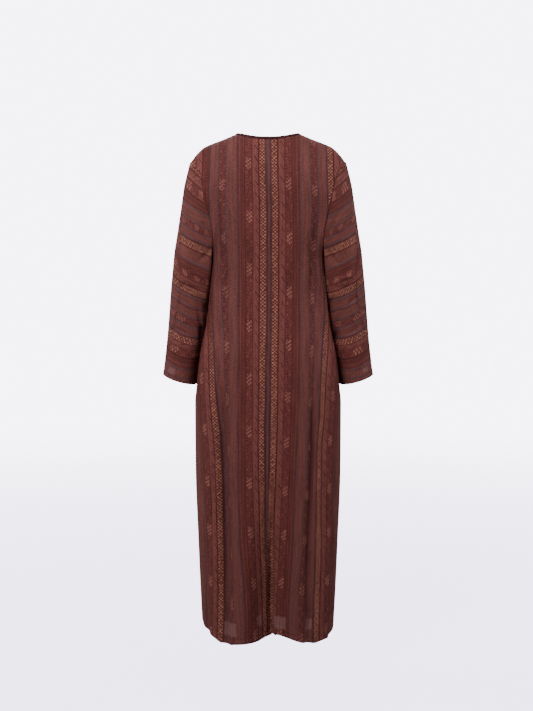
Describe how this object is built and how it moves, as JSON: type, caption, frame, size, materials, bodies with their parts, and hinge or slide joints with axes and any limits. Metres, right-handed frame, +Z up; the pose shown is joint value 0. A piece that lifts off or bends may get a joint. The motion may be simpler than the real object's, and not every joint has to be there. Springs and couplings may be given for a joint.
{
  "type": "abaya",
  "caption": "Ankle-length long-sleeved abaya in striped jacquard, hanging in its worn form, with a centre-back seam, drop shoulders and an open neck, hem and cuffs.",
  "frame": {"origin": "on the centre line, level with the inner ends of the shoulder seams, where the wearer carries the garment", "axes": "+Z up, the garment's front towards -Y and its back towards +Y, the wearer's left side at +X"},
  "size_m": [0.576, 0.2762, 1.3652],
  "materials": {
    "back_left": "matt woven jacquard",
    "back_right": "matt woven jacquard",
    "front": "matt woven jacquard",
    "sleeve_left_back": "matt woven jacquard",
    "sleeve_left_front": "matt woven jacquard",
    "sleeve_right_back": "matt woven jacquard",
    "sleeve_right_front": "matt woven jacquard",
    "neck_binding": "matt plain weave"
  },
  "bodies": {
    "root": {"back_left": "back_left", "back_right": "back_right", "front": "front", "sleeve_left_back": "sleeve_left_back", "sleeve_left_front": "sleeve_left_front", "sleeve_right_back": "sleeve_right_back", "sleeve_right_front": "sleeve_right_front", "neck_binding": "neck_binding"}
  },
  "joints": []
}
